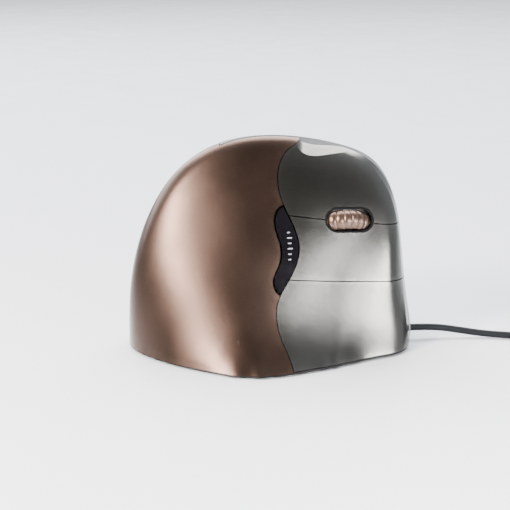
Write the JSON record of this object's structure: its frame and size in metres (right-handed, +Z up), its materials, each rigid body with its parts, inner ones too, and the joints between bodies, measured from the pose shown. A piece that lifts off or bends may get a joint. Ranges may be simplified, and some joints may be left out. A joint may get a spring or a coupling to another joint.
{
  "type": "computer mouse",
  "caption": "Wired vertical mouse for the right hand, with a leaning finger face of three buttons, scroll wheel, speed rocker and thumb buttons.",
  "frame": {"origin": "on the table, under the middle of the mouse", "axes": "+X towards the front, where the cord leaves; -Y the finger side; +Z up"},
  "size_m": [0.2282, 0.0812, 0.0779],
  "materials": {
    "palm_finish": "satin",
    "cap_finish": "satin",
    "graphite": "satin",
    "grip": "matte",
    "black_gloss": "gloss",
    "black_plastic": "matte",
    "copper_tyre": "satin",
    "white_nylon": "satin",
    "steel": "brushed",
    "board_green": "satin",
    "glide": "satin",
    "cord_black": "satin",
    "clear": "clear",
    "chip": "matte",
    "led_red": "gloss",
    "ribbon_white": "satin",
    "contact_white": "satin",
    "chassis_black": "matte"
  },
  "bodies": {
    "case": {"palm_shell": "palm_finish", "thumb_shell": "graphite", "thumb_panel": "grip", "base_plate": "black_plastic", "glide_feet": "glide", "case_screws": "steel", "button_hinge_rod": "steel", "button_chassis": "chassis_black", "speed_rocker_pin": "steel", "speed_board": "board_green", "speed_plus_switch": "chip", "speed_minus_switch": "chip", "wheel_carrier_pin": "steel", "wheel_bezel": "black_gloss", "wheel_switch": "chip", "button_upper_switch": "chip", "button_middle_switch": "chip", "button_lower_switch": "chip", "finger_board": "board_green", "upper_board": "board_green", "thumb_hinge_rod": "steel", "thumb_board": "board_green", "thumb_back_switch": "chip", "thumb_forward_switch": "chip", "main_board": "board_green", "board_screws": "steel", "optical_sensor": "chip", "sensor_lens": "clear", "sensor_led": "led_red", "cable_connector": "contact_white", "inner_cord": "cord_black", "strain_relief": "cord_black", "cord_run": "cord_black", "cord_coil": "cord_black", "cord_tail": "cord_black", "coil_tie": "cord_black", "plug_body": "cord_black", "plug_shell": "steel", "plug_tongue": "contact_white", "finger_ribbon": "ribbon_white", "thumb_ribbon": "ribbon_white"},
    "button_upper": {"button_upper": "cap_finish"},
    "button_middle": {"button_middle": "cap_finish"},
    "button_lower": {"button_lower": "cap_finish"},
    "upper_plunger": {"button_upper_plunger": "white_nylon"},
    "middle_plunger": {"button_middle_plunger": "white_nylon"},
    "lower_plunger": {"button_lower_plunger": "white_nylon"},
    "wheel_carrier": {"wheel_carrier": "white_nylon", "wheel_encoder": "chip"},
    "wheel": {"wheel_tyre": "copper_tyre", "wheel_hub": "black_plastic"},
    "wheel_plunger": {"wheel_plunger": "white_nylon"},
    "thumb_button_forward": {"thumb_button_forward": "black_gloss"},
    "thumb_button_back": {"thumb_button_back": "black_gloss"},
    "thumb_forward_plunger": {"thumb_forward_plunger": "white_nylon"},
    "thumb_back_plunger": {"thumb_back_plunger": "white_nylon"},
    "speed_rocker": {"speed_rocker": "black_gloss"},
    "speed_plus_plunger": {"speed_plus_plunger": "white_nylon"},
    "speed_minus_plunger": {"speed_minus_plunger": "white_nylon"}
  },
  "joints": [
    {"name": "upper_press", "type": "hinge", "parent": "case", "child": "button_upper", "pos_m": [0.01074, -0.02751, -0.00354], "axis": [0, 0.44, 0.898], "range_deg": [0, 1.1], "stiffness_Nm_per_rad": 0.6, "springref_deg": -1.15},
    {"name": "upper_click", "type": "slide", "parent": "case", "child": "upper_plunger", "axis": [-0.1904, 0.8816, -0.432], "range_m": [0, 0.00045]},
    {"name": "middle_press", "type": "hinge", "parent": "case", "child": "button_middle", "pos_m": [0.01074, -0.02751, -0.00354], "axis": [0, 0.44, 0.898], "range_deg": [0, 0.96], "stiffness_Nm_per_rad": 0.6, "springref_deg": -1.15},
    {"name": "middle_click", "type": "slide", "parent": "case", "child": "middle_plunger", "axis": [-0.1904, 0.8816, -0.432], "range_m": [0, 0.00045]},
    {"name": "lower_press", "type": "hinge", "parent": "case", "child": "button_lower", "pos_m": [0.01074, -0.02751, -0.00354], "axis": [0, 0.44, 0.898], "range_deg": [0, 1.1], "stiffness_Nm_per_rad": 0.6, "springref_deg": -1.15},
    {"name": "lower_click", "type": "slide", "parent": "case", "child": "lower_plunger", "axis": [-0.1904, 0.8816, -0.432], "range_m": [0, 0.00045]},
    {"name": "wheel_press", "type": "hinge", "parent": "case", "child": "wheel_carrier", "pos_m": [0.04066, -0.00121, 0.0443], "axis": [0, -0.44, -0.898], "range_deg": [0, 1.28], "stiffness_Nm_per_rad": 0.5, "springref_deg": -1.15},
    {"name": "wheel_spin", "type": "hinge", "parent": "wheel_carrier", "child": "wheel", "pos_m": [0.02594, -0.00377, 0.04556], "axis": [0, 0.44, 0.898], "continuous": true},
    {"name": "wheel_click", "type": "slide", "parent": "case", "child": "wheel_plunger", "axis": [-0.1904, 0.8816, -0.432], "range_m": [0, 0.00045]},
    {"name": "forward_press", "type": "hinge", "parent": "case", "child": "thumb_button_forward", "pos_m": [0.0086, 0.0116, 0.0598], "axis": [-1, 0, 0], "range_deg": [0, 2.4], "stiffness_Nm_per_rad": 0.3, "springref_deg": -1.15},
    {"name": "forward_click", "type": "slide", "parent": "case", "child": "thumb_forward_plunger", "axis": [0, -1, 0], "range_m": [0, 0.00045]},
    {"name": "back_press", "type": "hinge", "parent": "case", "child": "thumb_button_back", "pos_m": [-0.0065, 0.0116, 0.0598], "axis": [-1, 0, 0], "range_deg": [0, 2.4], "stiffness_Nm_per_rad": 0.3, "springref_deg": -1.15},
    {"name": "back_click", "type": "slide", "parent": "case", "child": "thumb_back_plunger", "axis": [0, -1, 0], "range_m": [0, 0.00045]},
    {"name": "speed_rock", "type": "hinge", "parent": "case", "child": "speed_rocker", "pos_m": [0.0018, -0.01135, 0.03778], "axis": [-0.9817, -0.171, 0.0838], "range_deg": [-2, 2], "stiffness_Nm_per_rad": 0.3},
    {"name": "speed_plus_click", "type": "slide", "parent": "case", "child": "speed_plus_plunger", "axis": [-0.1904, 0.8816, -0.432], "range_m": [-0.0003, 0.0003]},
    {"name": "speed_minus_click", "type": "slide", "parent": "case", "child": "speed_minus_plunger", "axis": [-0.1904, 0.8816, -0.432], "range_m": [-0.0003, 0.0003]}
  ],
  "couplings": [
    {"joint": "upper_click", "follows": "upper_press", "m_per_rad": 0.013955},
    {"joint": "middle_click", "follows": "middle_press", "m_per_rad": 0.02516},
    {"joint": "lower_click", "follows": "lower_press", "m_per_rad": 0.021086},
    {"joint": "wheel_click", "follows": "wheel_press", "m_per_rad": 0.01795},
    {"joint": "forward_click", "follows": "forward_press", "m_per_rad": 0.0098},
    {"joint": "back_click", "follows": "back_press", "m_per_rad": 0.0098},
    {"joint": "speed_plus_click", "follows": "speed_rock", "m_per_rad": 0.008},
    {"joint": "speed_minus_click", "follows": "speed_rock", "m_per_rad": -0.008}
  ]
}
